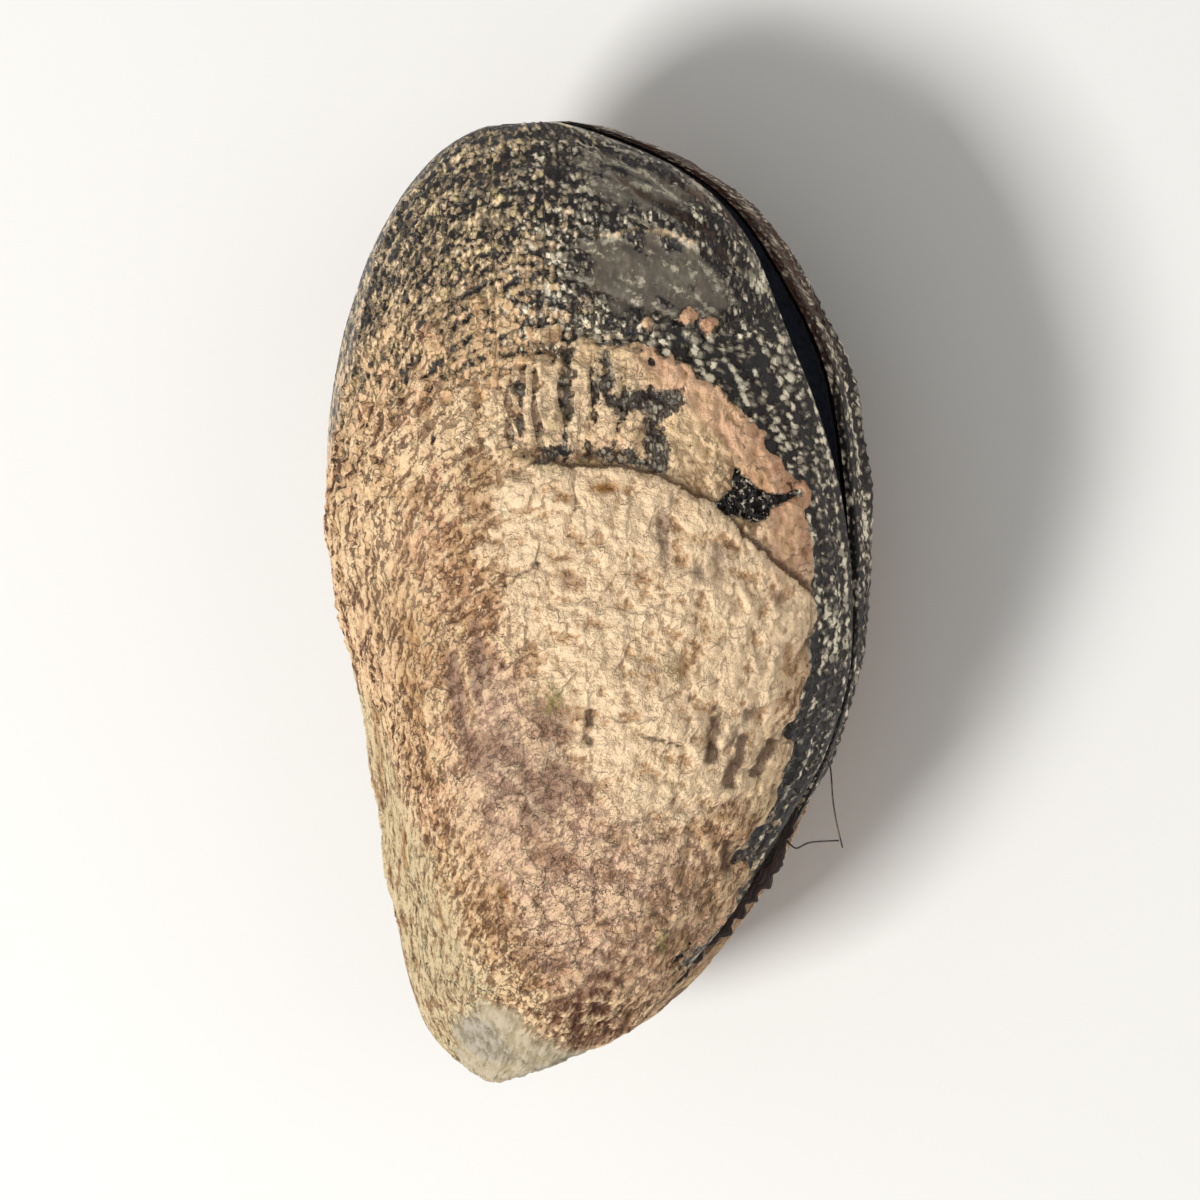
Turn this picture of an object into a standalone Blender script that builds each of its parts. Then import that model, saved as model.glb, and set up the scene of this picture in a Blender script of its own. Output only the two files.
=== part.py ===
"""A ribbed mussel shell, empty and dry: two valves grown over with pink crust, and their ligament.

The shell is modelled in its own frame in millimetres: the umbo at the origin, +X towards the hinge
side, +Y towards the broad hind end, +Z out of the right valve, and the plane where the valves meet
at Z = 0. It lies as it rests, right valve up, on a worn spot of the left valve.
The part's own frame is in metres, +Z up, its origin on the surface under the middle of the shell.
"""
import math

import bmesh
import bpy
import numpy as np
from mathutils import Matrix, Vector, noise

MM = 0.001

# The valve's edge, seen square on. Its points are in millimetres and run from the front of the
# belly side under the umbo, along the hinge, round the hind end and back down the belly side.
EDGE = [
    (-3.4, 0.1), (-1.0, -0.4), (2.0, 0.5), (4.9, 1.6), (8.5, 4.0), (13.5, 9.6),
    (19.0, 19.7), (19.4, 32.5), (16.9, 39.7), (12.9, 44.6), (5.5, 47.8), (-0.2, 47.0),
    (-4.7, 42.3), (-7.8, 34.7), (-8.5, 26.5), (-7.2, 18.3), (-6.3, 7.0), (-5.3, 2.2),
]
EDGE_FRONT = -0.42         # the edge's lowest and highest places along Y
EDGE_HIND = 47.85

# The valve's height over the plane of its edge: cross sections follow one another along Y.
HEIGHT = 10.4
HIGHEST_AT = 24.0          # along Y
FRONT_FULLNESS = (2.3, 0.45)   # how the height falls off to the umbo
HIND_FULLNESS = (2.0, 0.55)    # and to the hind end
RIDGE = 0.53               # the ridge's place across a section, from the belly side
RIDGE_AT_UMBO = 0.80
RIDGE_TURN = 3.2           # how soon the ridge swings over to the hinge at the umbo
BELLY_FULLNESS = (1.3, 2.5)    # at the umbo, and from BELLY_SETTLES on
BELLY_SETTLES = 20.0
HINGE_PLACES = (6.0, 15.0, 30.0)
HINGE_FULLNESS = (3.5, 1.9, 1.2)   # how the hinge side falls off at those places
HINGE_STEEPNESS = (0.70, 0.55, 0.33)

# Inside: the same sections, drawn in. The beak in front is solid.
WALL_AT_RIDGE = 1.1
RIM = 0.75
HOLLOW_FRONT = 5.0
HOLLOW_HIND = 46.3

SECTIONS = 37
OUTER_COLUMNS = 38
INNER_COLUMNS = 20
END_CROWDING = 0.55        # sections stand closer together towards both ends

# How the valves stand to each other.
HALF_GAP = 0.16            # each edge stays this far from the middle plane
OPENING = 2.2              # degrees between the valves
HINGE_POINT = (9.0, 3.4)
HINGE_ANGLE = 38.0

# The right valve's edge is worn back along the hind part of the hinge side.
WORN_HEIGHT = 2.5          # how far the edge now lies above its plane
WORN_MIDDLE = 36.0         # along Y
WORN_TO_HIND = 6.0
WORN_TO_FRONT = 7.0

# The ligament lies in a slot between the two hinge edges.
LIGAMENT_LINE = [(5.6, 3.0), (8.5, 5.0), (11.2, 7.7), (13.8, 10.8), (15.6, 13.6)]
LIGAMENT_RADII = [0.35, 0.75, 0.85, 1.1, 0.4]
LIGAMENT_FLATTENING = 0.34
SLOT_RISE = 0.55           # how far each hinge edge draws back from the middle plane
SLOT_FRONT = 1.2           # along Y
SLOT_HIND = 15.5

# The growth spiral: every growth line is the edge, made smaller and turned about the coil axis.
COIL_AXIS = 22.0           # degrees from +X, in the plane of the edge
EXPANSION = 0.19           # how fast a growth line shrinks as it turns
EXPANSION_RISE = 1.28
FLATNESS = 0.557           # height of the valve against a round coil

# Relief of the outside.
CRUST_THICKNESS = 0.32
CRUST = [
    (12.8, 36.9), (15.0, 35.6), (16.9, 33.3), (18.4, 30.3), (18.5, 24.3), (17.4, 20.5),
    (16.5, 15.8), (13.6, 12.5), (13.3, 9.5), (9.5, 4.6), (4.0, 1.0), (-3.0, 0.5), (-7.0, 5.0),
    (-9.5, 20.0), (-9.5, 30.0), (-4.5, 37.0), (2.0, 39.0), (8.0, 38.6),
]
PLATEAU_THICKNESS = 0.3
PLATEAU = [
    (6.7, 31.7), (10.5, 31.7), (12.7, 31.2), (14.8, 29.8), (16.5, 27.4), (18.0, 24.3),
    (16.4, 19.0), (12.5, 15.5), (8.7, 20.4), (7.7, 24.0),
]
LEFT_CRUST = [
    (9.0, 34.0), (13.6, 31.5), (16.2, 27.0), (16.8, 21.0), (15.0, 14.0), (9.5, 4.6), (4.0, 1.0),
    (-3.0, 0.5), (-7.0, 5.0), (-9.5, 18.0), (-8.0, 27.0), (-3.0, 33.5), (3.0, 35.5),
]
LEFT_PLATEAU = [(1.0, 27.5), (6.0, 29.0), (11.0, 26.0), (12.5, 20.0), (9.0, 14.0), (3.0, 15.0)]
LEDGE_WIDTH = 1.2
GROWTH_CHECKS = (0.95, 0.87, 0.745, 0.61)    # scales of growth lines, the edge being 1
CHECK_DEPTH = 0.25
CHECK_LENGTH = 0.04
LUMP_HEIGHT = 0.3
LUMP_SIZE = 3.4

# The shell lies level, on a small spot worn flat under the left valve.
WORN_SPOT_DEPTH = 0.6


def spline(points, count):
    """Places along a smooth closed curve through the points, with what lies at even parameters."""
    corners = np.array(points, float)
    at = np.linspace(0, len(corners), count, endpoint=False)
    start = at.astype(int)
    part = (at - start)[:, None]
    before, here, after, beyond = (corners[(start + k) % len(corners)] for k in (-1, 0, 1, 2))
    return 0.5 * (2 * here + (after - before) * part
                  + (2 * before - 5 * here + 4 * after - beyond) * part ** 2
                  + (3 * here - before - 3 * after + beyond) * part ** 3)


def edge_sides(y):
    """The edge's places on the belly side and on the hinge side, at y."""
    fine = spline(EDGE, 4000)
    lowest, highest = fine[:, 1].argmin(), fine[:, 1].argmax()
    hinge = fine[np.arange(lowest, highest)]
    belly = np.roll(fine, -highest, axis=0)[:len(fine) - len(hinge)][::-1]
    return np.interp(y, belly[:, 1], belly[:, 0]), np.interp(y, hinge[:, 1], hinge[:, 0])


def rise_along(y, front, hind):
    """Share of the full height at y, from nothing at the front to nothing at the hind end."""
    to_front = np.clip((HIGHEST_AT - y) / (HIGHEST_AT - front), 0, 1)
    to_hind = np.clip((y - HIGHEST_AT) / (hind - HIGHEST_AT), 0, 1)
    fore = (1 - to_front ** FRONT_FULLNESS[0]) ** FRONT_FULLNESS[1]
    return fore * (1 - to_hind ** HIND_FULLNESS[0]) ** HIND_FULLNESS[1]


def arc(y, columns, height, inset, edge_height):
    """Points of one arc of a section, from the belly edge over the ridge to the hinge edge."""
    belly, hinge = edge_sides(y)
    belly, hinge = belly + inset, hinge - inset
    ridge_share = RIDGE + (RIDGE_AT_UMBO - RIDGE) * np.exp(-(np.maximum(y, 0) / RIDGE_TURN) ** 2)
    ridge = belly + (hinge - belly) * ridge_share
    belly_fullness = np.interp(y, (0, BELLY_SETTLES), BELLY_FULLNESS)
    fullness = np.interp(y, HINGE_PLACES, HINGE_FULLNESS)
    steepness = np.interp(y, HINGE_PLACES, HINGE_STEEPNESS)
    worn = np.clip(edge_height / np.maximum(height, 0.01), 0, 1) ** (1 / steepness)
    last = (1 - worn) ** (1 / fullness)
    share = np.linspace(-1, 1, columns)
    across = np.sin(share * math.pi / 2) * np.where(share > 0, last, 1)
    on_belly = 1 - np.abs(across) ** belly_fullness
    on_hinge = (1 - np.abs(across) ** fullness) ** steepness
    x = ridge + across * np.where(across < 0, ridge - belly, hinge - ridge)
    z = height * np.where(across < 0, on_belly, on_hinge)
    return np.stack([x, y + 0 * x, z], axis=-1)


def surface_normals(points):
    """Unit vectors out of a grid of sections by columns."""
    across = np.gradient(points, axis=1)
    along = np.gradient(points, axis=0)
    normal = np.cross(across, along)
    return normal / np.maximum(np.linalg.norm(normal, axis=-1, keepdims=True), 1e-9)


def inside(points, outline):
    """1 well inside a smooth closed outline, 0 well outside, with a ledge's slope between."""
    curve = spline(outline, 12 * len(outline))
    start, end = curve, np.roll(curve, -1, axis=0)
    side = end - start
    offset = points[..., None, :2] - start
    part = np.clip((offset * side).sum(-1) / (side ** 2).sum(-1), 0, 1)
    distance = np.linalg.norm(offset - part[..., None] * side, axis=-1).min(-1)
    x, y = points[..., 0, None], points[..., 1, None]
    crosses = (start[:, 1] > y) != (end[:, 1] > y)
    slope = np.where(np.abs(side[:, 1]) > 1e-12, side[:, 1], 1e-12)
    hit = x < start[:, 0] + (y - start[:, 1]) * side[:, 0] / slope
    is_in = (crosses & hit).sum(-1) % 2 == 1
    return np.clip(0.5 + np.where(is_in, distance, -distance) / LEDGE_WIDTH, 0, 1)


def growth(points):
    """Scale of the growth line through each point."""
    turn = math.radians(COIL_AXIS)
    across = points[..., 1] * math.cos(turn) - points[..., 0] * math.sin(turn)
    rise = np.maximum(points[..., 2], 0) / FLATNESS
    angle = np.arctan2(rise, np.maximum(across, 0.01))
    return np.exp(-(EXPANSION * angle + EXPANSION_RISE * angle ** 2 / 2))


def relief(points, crust, plateau, seed):
    """Height of crust, growth checks and lumps over the smooth surface."""
    height = CRUST_THICKNESS * inside(points, crust) + PLATEAU_THICKNESS * inside(points, plateau)
    for check in GROWTH_CHECKS:
        past = (growth(points) - check) / CHECK_LENGTH
        height -= CHECK_DEPTH * np.where(past >= 0, np.exp(-np.maximum(past, 0)), 0)
    lumps = [noise.noise(Vector(p) / LUMP_SIZE + Vector((seed, 0, 0))) for p in points.reshape(-1, 3)]
    return height + LUMP_HEIGHT * np.array(lumps).reshape(height.shape)


def bump(y, middle, to_front, to_hind):
    """A smooth rise along Y, 1 at its middle."""
    return np.exp(-((y - middle) / np.where(y > middle, to_hind, to_front)) ** 2)


def valve_sections(is_worn, crust, plateau, seed):
    """Closed sections of one valve, from the umbo to the hind end."""
    even = np.linspace(0, 1, SECTIONS)
    place = (1 - END_CROWDING) * even + END_CROWDING * (1 - np.cos(even * math.pi)) / 2
    y = EDGE_FRONT + 0.04 + place[:, None] * (EDGE_HIND - EDGE_FRONT - 0.1)
    half = (SLOT_HIND - SLOT_FRONT) / 2
    edge_height = SLOT_RISE * np.clip(1.3 * (1 - ((y - SLOT_FRONT - half) / half) ** 4), 0, 1)
    if is_worn:
        edge_height = edge_height + WORN_HEIGHT * bump(y, WORN_MIDDLE, WORN_TO_FRONT, WORN_TO_HIND)
    height = HEIGHT * rise_along(y, EDGE_FRONT, EDGE_HIND)
    edge_height = np.minimum(edge_height, 0.6 * height)
    outer = arc(y, OUTER_COLUMNS, height, 0, edge_height)
    fade = np.clip((outer[..., 2] - edge_height) / 1.5, 0, 1)
    outer += surface_normals(outer) * (relief(outer, crust, plateau, seed) * fade)[..., None]

    hollow = (HEIGHT - WALL_AT_RIDGE) * rise_along(y, HOLLOW_FRONT, HOLLOW_HIND)
    inset = np.minimum(RIM, (outer[:, -1:, 0] - outer[:, :1, 0]) / 4)
    inner = arc(y, INNER_COLUMNS, np.maximum(hollow, 1.5 * edge_height + 0.3), inset, edge_height)
    inner[..., 2] = np.where(hollow > edge_height, inner[..., 2],
                             edge_height * np.linspace(0, 1, INNER_COLUMNS))
    sections = np.concatenate([outer, inner[:, ::-1]], axis=1)
    sections[..., 2] += HALF_GAP
    return sections


def open_about_hinge(points):
    """Turns a valve's points out by half of the opening, about the line of the hinge."""
    turn, half = math.radians(HINGE_ANGLE), math.radians(OPENING / 2)
    axis = np.array((math.cos(turn), math.sin(turn), 0))
    from_hinge = points - np.array((*HINGE_POINT, 0))
    turned = (from_hinge * math.cos(half) + np.cross(axis, from_hinge) * math.sin(half)
              + (from_hinge @ axis)[..., None] * axis * (1 - math.cos(half)))
    return turned + np.array((*HINGE_POINT, 0))


def loft(name, sections):
    """A closed solid through closed sections, with both ends filled."""
    mesh = bmesh.new()
    rows = [[mesh.verts.new(point) for point in section] for section in sections]
    count = len(rows[0])
    for row, following in zip(rows, rows[1:]):
        for k in range(count):
            ahead = (k + 1) % count
            mesh.faces.new((row[k], row[ahead], following[ahead], following[k]))
    mesh.faces.new(rows[0])
    mesh.faces.new(rows[-1])
    bmesh.ops.triangulate(mesh, faces=mesh.faces)
    bmesh.ops.recalc_face_normals(mesh, faces=mesh.faces)
    data = bpy.data.meshes.new(name)
    mesh.to_mesh(data)
    mesh.free()
    data.shade_smooth()
    data.set_sharp_from_angle(angle=math.radians(50))
    return bpy.data.objects.new(name, data)


def material(name, colour, roughness):
    """A plain matt material."""
    made = bpy.data.materials.new(name)
    made.use_nodes = True
    shader = made.node_tree.nodes["Principled BSDF"]
    shader.inputs["Base Color"].default_value = (*colour, 1)
    shader.inputs["Roughness"].default_value = roughness
    shader.inputs["Metallic"].default_value = 0
    made.diffuse_color = (*colour, 1)
    return made


def ligament():
    """The horny strip that holds the valves together, flat between the two hinge edges."""
    curve = bpy.data.curves.new("ligament", "CURVE")
    curve.dimensions = "3D"
    curve.bevel_depth = 1.0
    curve.bevel_resolution = 2
    curve.use_fill_caps = True
    line = curve.splines.new("POLY")
    stations = 14
    knots = np.arange(len(LIGAMENT_LINE))
    places = np.linspace(0, knots[-1], stations)
    line.points.add(stations - 1)
    for point, place in zip(line.points, places):
        x, y = (np.interp(place, knots, [p[k] for p in LIGAMENT_LINE]) for k in (0, 1))
        point.co = (x, y, 0, 1)
        point.radius = float(np.interp(place, knots, LIGAMENT_RADII))
    tube = bpy.data.objects.new("ligament", curve)
    bpy.context.scene.collection.objects.link(tube)
    bpy.context.view_layer.update()
    mesh = bpy.data.meshes.new_from_object(tube.evaluated_get(bpy.context.evaluated_depsgraph_get()))
    bpy.data.objects.remove(tube)
    strip = bmesh.new()
    strip.from_mesh(mesh)
    bmesh.ops.remove_doubles(strip, verts=strip.verts, dist=0.001)
    bmesh.ops.scale(strip, vec=(1, 1, LIGAMENT_FLATTENING), verts=strip.verts)
    bmesh.ops.recalc_face_normals(strip, faces=strip.faces)
    strip.to_mesh(mesh)
    strip.free()
    mesh.shade_smooth()
    mesh.name = "ligament"
    return bpy.data.objects.new("ligament", mesh)


def lay_down(shell, left_valve):
    """Wears a flat spot under the left valve, and gives where the shell's own origin then lies."""
    floor = min(vertex.co.z for vertex in left_valve.data.vertices) + WORN_SPOT_DEPTH
    for vertex in left_valve.data.vertices:
        vertex.co.z = max(vertex.co.z, floor)
    places = [vertex.co for piece in shell for vertex in piece.data.vertices]
    middle = [(min(p[k] for p in places) + max(p[k] for p in places)) / 2 for k in (0, 1)]
    return -Vector((*middle, floor))


def main():
    for old in list(bpy.data.objects):
        bpy.data.objects.remove(old)
    right_sections = open_about_hinge(valve_sections(True, CRUST, PLATEAU, 0.0))
    left_sections = open_about_hinge(valve_sections(False, LEFT_CRUST, LEFT_PLATEAU, 40.0))
    right_valve = loft("right_valve", right_sections)
    left_valve = loft("left_valve", left_sections * np.array((1, 1, -1)))
    strip = ligament()
    shell = [right_valve, left_valve, strip]

    crusted = material("crusted shell", (0.50, 0.34, 0.24), 0.85)
    bare = material("dark shell", (0.10, 0.09, 0.08), 0.7)
    horn = material("horn", (0.035, 0.022, 0.015), 0.5)
    for piece, finish in zip(shell, (crusted, bare, horn)):
        piece.data.materials.append(finish)

    # The pieces hang from an empty at the shell's own origin, between the umbones.
    umbo = bpy.data.objects.new("between the umbones", None)
    umbo.location = lay_down(shell, left_valve) * MM
    collection = bpy.data.collections.new("mussel shell")
    bpy.context.scene.collection.children.link(collection)
    collection.objects.link(umbo)
    for piece in shell:
        piece.data.transform(Matrix.Scale(MM, 4))
        collection.objects.link(piece)
        piece.parent = umbo


main()
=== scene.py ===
"""Looks of the mussel shell: crusted and bare shell, nodules, rims, ligament, a thread, and the stage.

Lengths in the code are millimetres in the shell's own frame: the umbo at the origin, +X towards the
hinge side, +Y towards the broad hind end, +Z out of the right valve, and the valves meeting at Z = 0.
"""
import math

import bpy
import numpy as np
from mathutils import Matrix, Vector, noise


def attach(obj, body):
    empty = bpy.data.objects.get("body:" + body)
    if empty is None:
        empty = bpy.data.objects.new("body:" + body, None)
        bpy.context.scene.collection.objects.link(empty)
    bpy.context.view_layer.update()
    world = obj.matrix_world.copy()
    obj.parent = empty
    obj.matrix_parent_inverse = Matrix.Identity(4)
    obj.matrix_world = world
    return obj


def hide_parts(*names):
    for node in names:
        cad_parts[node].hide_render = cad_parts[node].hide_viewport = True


bl_info = {
    "name": "Mussel Shell",
    "version": (1, 0, 0),
    "blender": (4, 5, 0),
    "location": "3D View > Sidebar > Mussel Shell",
    "description": "Builds the crusted mussel shell and its stage on the packed frame",
    "category": "Object",
}

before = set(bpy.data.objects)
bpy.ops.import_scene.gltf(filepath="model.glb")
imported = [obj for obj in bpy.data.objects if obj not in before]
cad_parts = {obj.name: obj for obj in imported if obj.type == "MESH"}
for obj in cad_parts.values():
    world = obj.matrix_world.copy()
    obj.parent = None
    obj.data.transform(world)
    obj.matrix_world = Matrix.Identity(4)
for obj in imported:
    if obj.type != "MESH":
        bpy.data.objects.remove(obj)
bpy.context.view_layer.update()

MM = 0.001
UMBO = np.array((-5.596, -23.704, 10.932))    # where the shell's own origin lies in the part's frame

# The valve's edge, seen square on, from the front of the belly side round by the hinge.
EDGE = [
    (-3.4, 0.1), (-1.0, -0.4), (2.0, 0.5), (4.9, 1.6), (8.5, 4.0), (13.5, 9.6),
    (19.0, 19.7), (19.4, 32.5), (16.9, 39.7), (12.9, 44.6), (5.5, 47.8), (-0.2, 47.0),
    (-4.7, 42.3), (-7.8, 34.7), (-8.5, 26.5), (-7.2, 18.3), (-6.3, 7.0), (-5.3, 2.2),
]
EDGE_FRONT = -0.42
EDGE_HIND = 47.85

# Cross sections follow one another along Y, as in the solids.
HEIGHT = 10.4
HIGHEST_AT = 24.0
FRONT_FULLNESS = (2.3, 0.45)
HIND_FULLNESS = (2.0, 0.55)
RIDGE = 0.53
RIDGE_AT_UMBO = 0.80
RIDGE_TURN = 3.2
BELLY_FULLNESS = (1.3, 2.5)
BELLY_SETTLES = 20.0
HINGE_PLACES = (6.0, 15.0, 30.0)
HINGE_FULLNESS = (3.5, 1.9, 1.2)
HINGE_STEEPNESS = (0.70, 0.55, 0.33)
RIM = 0.75
HOLLOW_FRONT = 5.0
HOLLOW_HIND = 46.3

# How the valves gape, the worn edge, the slot along the hinge, and what lies in it.
HALF_GAP = 0.16
OPENING = 2.2              # degrees
HINGE_POINT = (9.0, 3.4)
HINGE_ANGLE = 38.0
WORN_HEIGHT = 2.5
WORN_MIDDLE = 36.0
WORN_TO_HIND = 6.0
WORN_TO_FRONT = 7.0
SLOT_RISE = 0.55
SLOT_FRONT = 1.2
SLOT_HIND = 15.5
LIGAMENT_LINE = [(5.6, 3.0), (8.5, 5.0), (11.2, 7.7), (13.8, 10.8), (15.6, 13.6)]
LIGAMENT_RADII = [0.35, 0.75, 0.85, 1.1, 0.4]
LIGAMENT_FLATTENING = 0.34
LIGAMENT_ROWS = 160
LIGAMENT_GROOVES = 0.06
LIGAMENT_LUMPS = 0.45
LUMP_WIDTH = 0.8
THREAD_RADIUS = 0.045
THREAD_ROWS = 60
THREADS = [
    [(16.6, 16.6, 0.1), (17.4, 16.4, 0.1), (17.8, 15.6, 0.0), (17.8, 13.8, 0.0), (17.9, 12.6, -0.1),
     (18.1, 11.4, -0.2)],
    [(14.0, 12.4, 0.0), (14.4, 12.4, 0.0), (15.2, 11.8, 0.0), (15.7, 11.3, 0.0), (16.4, 11.7, 0.0),
     (18.0, 11.8, 0.0)],
]

# The growth spiral: every growth line is the edge, made smaller and turned about the coil axis.
COIL_AXIS = 22.0           # degrees from +X
EXPANSION = 0.19
EXPANSION_RISE = 1.28
LEAN = 0.094
LEAN_ANGLE = 0.25
FLATNESS = 0.557

# The stage, with the floor's size and the lamps' offsets and widths in metres.
FLOOR_SIZE = 6
LOOK_AT = (5.0, 24.0, 0.0)
LAMPS = (
    ("main light", (-0.26, -0.16, 0.42), "key", 0.16),
    ("fill light", (0.45, 0.10, 0.30), "fill", 0.30),
)
CAMERA_TURNS = (("Z", 3.6), ("X", 7.2), ("Y", -23.8))    # degrees
CAMERA_SHIFT = (0.015, -0.002)

# Outlines of regions of the valves, seen square on.
CRUST = [
    (13.0, 36.9), (15.0, 35.6), (17.0, 33.3), (18.6, 30.3), (18.9, 28.4), (18.7, 24.5), (18.5, 22.6),
    (18.1, 20.6), (17.6, 19.0), (17.0, 18.1), (17.3, 17.5), (16.5, 15.8), (15.7, 14.1), (14.6, 12.8),
    (14.2, 12.5), (13.7, 11.5), (14.1, 11.3), (13.8, 10.5), (13.2, 9.5), (12.2, 8.3), (10.6, 6.6),
    (9.4, 5.2), (8.5, 3.0), (4.0, -1.0), (-5.0, -1.0), (-9.5, 5.0), (-10.0, 20.0), (-9.0, 28.5),
    (-5.0, 31.5), (-0.5, 34.8), (4.0, 36.3), (8.0, 37.3), (10.5, 37.6),
]
CRUST_ISLANDS = [    # x, y and radius
    (14.2, 38.4, 0.45), (15.0, 37.9, 0.4), (12.4, 38.2, 0.35), (4.0, 39.6, 0.5), (1.5, 38.0, 0.6),
]
PLATEAU = [
    (6.9, 31.6), (8.9, 31.8), (10.7, 31.7), (13.0, 31.1), (15.1, 29.8), (16.9, 27.5), (18.7, 24.5),
    (18.0, 22.0), (17.2, 19.8), (14.5, 18.3), (11.2, 19.0), (9.1, 20.6), (8.1, 23.5), (7.6, 27.4),
]
LEFT_CRUST = [
    (9.0, 34.0), (13.6, 31.5), (16.2, 27.0), (16.8, 21.0), (15.0, 14.0), (11.0, 5.0), (4.0, -1.0),
    (-5.0, -1.0), (-9.5, 5.0), (-10.0, 18.0), (-8.0, 27.0), (-3.0, 33.5), (3.0, 35.5),
]
LEFT_PLATEAU = [(1.0, 27.5), (6.0, 29.0), (11.0, 26.0), (12.5, 20.0), (9.0, 14.0), (3.0, 15.0)]
CREAM = [
    (5.6, 31.0), (8.9, 31.8), (13.0, 31.1), (16.9, 27.5), (18.7, 24.5), (17.8, 21.0), (16.0, 17.0),
    (13.0, 14.5), (10.0, 16.0), (8.0, 19.0), (7.0, 23.0), (6.0, 27.0),
]
FILMS = (
    [(9.0, 42.2), (12.1, 42.5), (14.6, 41.2), (15.6, 39.8), (15.3, 38.5), (12.5, 38.7), (9.8, 39.7)],
    [(8.1, 46.4), (10.0, 46.0), (12.7, 44.7), (13.3, 43.7), (11.3, 43.7), (9.4, 44.3)],
)
WINDOWS = (
    [(10.6, 34.9), (12.4, 35.3), (13.9, 35.2), (14.0, 34.2), (13.4, 33.4), (13.6, 31.5), (12.3, 31.5),
     (12.2, 33.2), (12.5, 34.0), (11.2, 34.3)],
    [(6.8, 32.7), (9.0, 32.8), (12.4, 32.3), (12.4, 31.8), (9.0, 32.2), (6.9, 32.1)],
    [(8.6, 37.0), (9.1, 37.2), (9.3, 34.4), (8.8, 34.2)],
    [(10.4, 37.0), (10.9, 37.0), (11.0, 35.0), (10.5, 35.0)],
    [(6.3, 36.2), (6.8, 36.3), (6.9, 33.4), (6.5, 33.3)],
)
BARE_PATCH = [
    (15.6, 29.6), (16.1, 30.3), (16.3, 31.3), (16.9, 30.5), (17.5, 30.0), (18.5, 29.7), (17.7, 29.2),
    (17.0, 28.6), (16.3, 28.9),
]
WORN_UMBO = [
    (-2.4, 1.8), (-0.8, 3.6), (1.4, 4.9), (3.0, 4.7), (3.9, 3.8), (4.6, 2.7), (5.0, 1.0), (3.0, -1.5),
    (-1.0, -2.0), (-3.2, -0.6),
]
CHALKY = [
    (-8.0, 22.0), (-4.2, 19.0), (-2.4, 17.2), (-1.4, 15.0), (-0.2, 13.2), (0.9, 10.8), (1.5, 8.8),
    (2.2, 7.0), (2.9, 5.9), (2.3, 4.6), (0.0, 2.0), (-4.0, 0.0), (-7.0, 4.0), (-8.5, 12.0),
]
ROSE = [
    (3.0, 22.5), (6.8, 22.0), (7.8, 18.5), (11.5, 15.5), (13.0, 12.5), (9.5, 6.0), (6.0, 7.5), (4.6, 9.5),
    (3.0, 13.5), (2.4, 17.0),
]
GROWTH_CHECKS = (0.95, 0.87, 0.745, 0.61)
CHECK_DEPTH = 0.16
CHECK_LENGTH = 0.03
SECTORS = 40               # growth lines keep one spacing within each of these shares of the edge
MARGIN_SPACING = 1.35      # rows along the hinge margin are this much wider than growth lines
MARGIN_END = 38.0          # and they end here
LEFT_SEED = 40.0           # added to the seeds of the right valve's noise
FAR = 1e9

# How far marks stand up from the surface, in millimetres, or lie below it.
GROOVE_DEPTH = 0.18
STRIPE_DEPTH = 0.14
SEAM_DEPTH = 0.22
SPOT_RISE = 0.20
VEIN_RISE = 0.10
BLOTCH_RISE = 0.08
GRAIN_RISE = 0.05
FILM_DEPTH = 0.12
SLOT_STRENGTH = 1.4        # slots are cut deeper than seams
RING_ROWS = 3.2            # growth lines to each coarser ring

EDGE_FADE = 1.2            # the relief sinks to its edge share within this height of the edge
EDGE_SHARE = 0.15

FINE_COLUMNS = 700         # points over a section before they are spread evenly
INNER_COLUMNS = 44
LEFT_SHARE = 0.8           # of the right valve's rows and columns

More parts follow.
